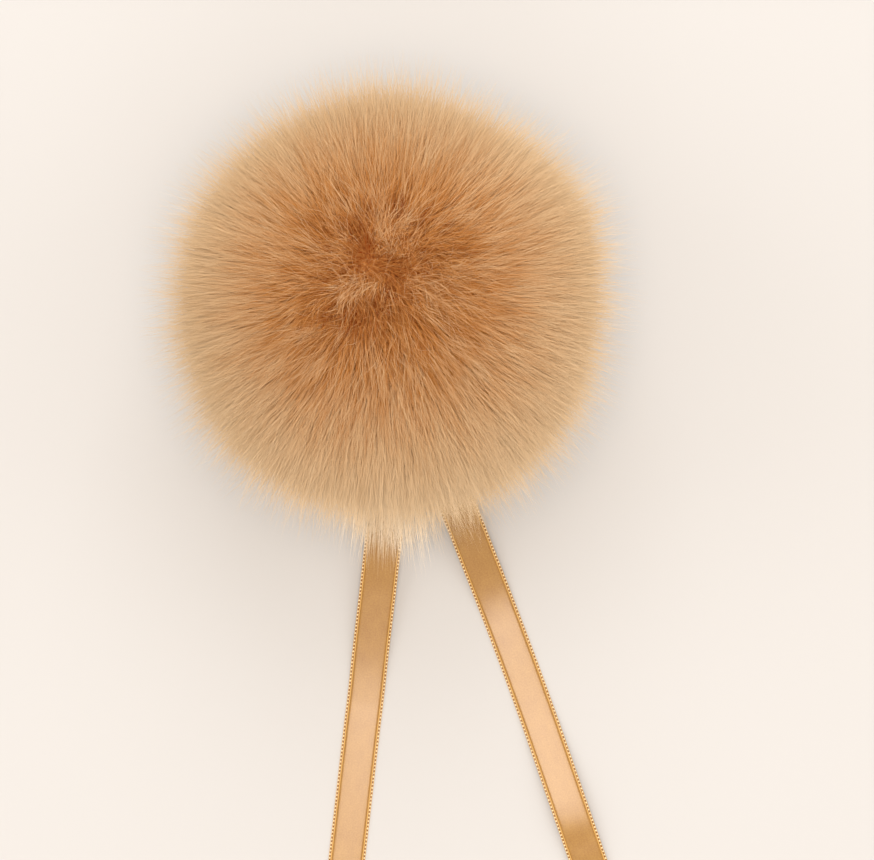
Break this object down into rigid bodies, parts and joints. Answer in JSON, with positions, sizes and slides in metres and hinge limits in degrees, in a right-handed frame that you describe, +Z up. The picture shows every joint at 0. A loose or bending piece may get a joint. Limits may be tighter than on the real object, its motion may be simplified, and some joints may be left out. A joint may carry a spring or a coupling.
{
  "type": "pom pom",
  "caption": "Round faux fur pom pom: a soft ball of long brushed pile with a small flat spot to rest on, and flat satin ribbon ties running out from under it.",
  "frame": {"origin": "on the surface the pom pom lies on, at the middle of the ball's flat spot", "axes": "+Z up from the surface, -Y along the ties towards their free ends, +X to the right with the ties towards the viewer"},
  "size_m": [0.1262, 0.2392, 0.105],
  "materials": {
    "faux_fur": "long silky acrylic pile, brushed out",
    "satin_ribbon": "double-faced polyester satin with picot edges"
  },
  "bodies": {
    "root": {"fur_ball": "faux_fur", "ribbon_left": "satin_ribbon", "ribbon_right": "satin_ribbon"}
  },
  "joints": []
}
